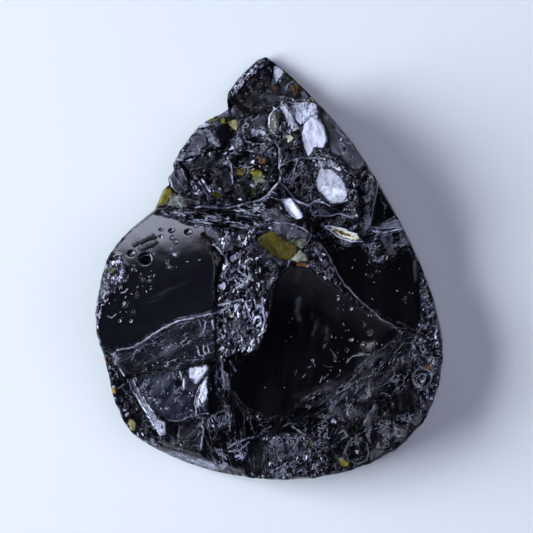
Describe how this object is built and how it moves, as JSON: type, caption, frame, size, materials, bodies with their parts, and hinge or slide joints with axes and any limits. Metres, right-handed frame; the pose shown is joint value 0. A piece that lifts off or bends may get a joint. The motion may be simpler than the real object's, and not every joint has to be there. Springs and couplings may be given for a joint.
{
  "type": "druzy lava rock slab",
  "caption": "Teardrop slab of black volcanic glass with a flat ground back and a broken face of glossy scars, gas pits and druzy crystals.",
  "frame": {"origin": "centre of the bounding box on the flat back", "axes": "+Z out of the back through the broken face, +Y from the round end to the point"},
  "size_m": [0.0347, 0.0422, 0.0088],
  "materials": {
    "lava_glass": "glossy black volcanic glass with rough and crystalline patches",
    "druse": "small sparkling dark crystals"
  },
  "bodies": {
    "root": {"lava_stone": "lava_glass", "hollow_crust": "druse"}
  },
  "joints": []
}
